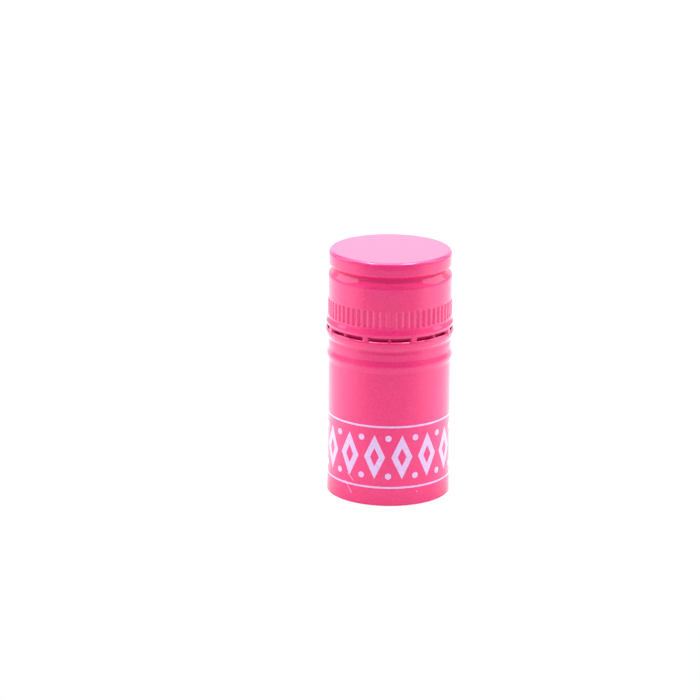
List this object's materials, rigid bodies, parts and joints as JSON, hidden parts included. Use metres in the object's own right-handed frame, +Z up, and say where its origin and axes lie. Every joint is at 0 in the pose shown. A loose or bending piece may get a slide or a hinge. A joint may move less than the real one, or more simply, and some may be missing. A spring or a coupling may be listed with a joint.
{
  "type": "aluminium screw cap",
  "caption": "Long-skirt roll-on bottle cap: thin drawn shell with knurled head, tear bead on bridges, second bead, plain skirt, and a liner disc under the closed top.",
  "frame": {"origin": "centre of the open bottom edge, on the plane that the cap stands on", "axes": "+Z up along the cap's axis, towards the closed top"},
  "size_m": [0.031, 0.031, 0.06],
  "materials": {
    "lacquered_shell": "glossy pink metallic lacquer on drawn aluminium",
    "liner_foam": "matte white foamed sheet"
  },
  "bodies": {
    "root": {"shell": "lacquered_shell", "liner": "liner_foam"}
  },
  "joints": []
}
